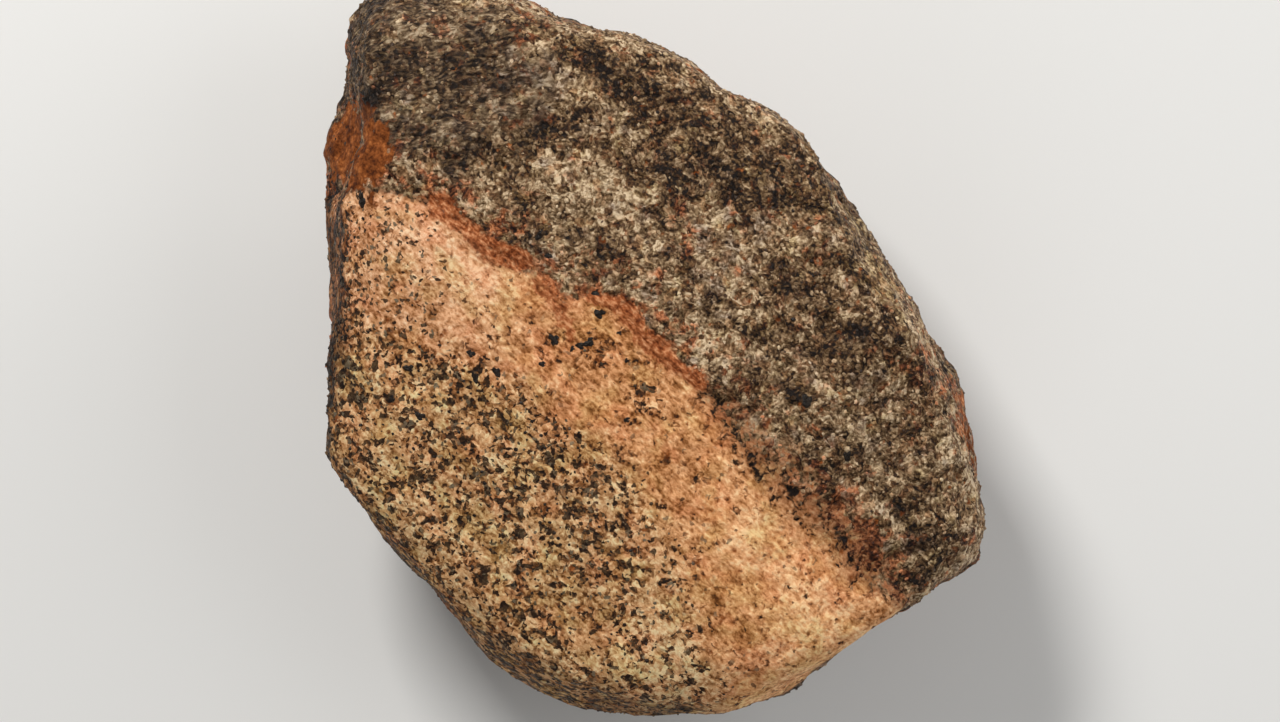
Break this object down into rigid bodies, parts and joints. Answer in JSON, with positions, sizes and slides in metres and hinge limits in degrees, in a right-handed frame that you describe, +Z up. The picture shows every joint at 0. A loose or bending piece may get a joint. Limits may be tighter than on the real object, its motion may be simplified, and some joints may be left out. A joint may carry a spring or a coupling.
{
  "type": "martian meteorite",
  "caption": "Angular weathered stone, broad domed face above and tapered back, resting on a small flat spot.",
  "frame": {"origin": "on the ground under the middle of the stone's box", "axes": "+X along the stone's longest extent, +Y across its broad face, +Z up, through its thickness"},
  "size_m": [0.375, 0.27, 0.152],
  "materials": {
    "stone": "matt weathered igneous stone: dark grainy brown-grey with pale crystals on one half, orange-tan desert dust with dark grains on the other, rust-red along the ledges between"
  },
  "bodies": {
    "root": {"meteorite": "stone"}
  },
  "joints": []
}
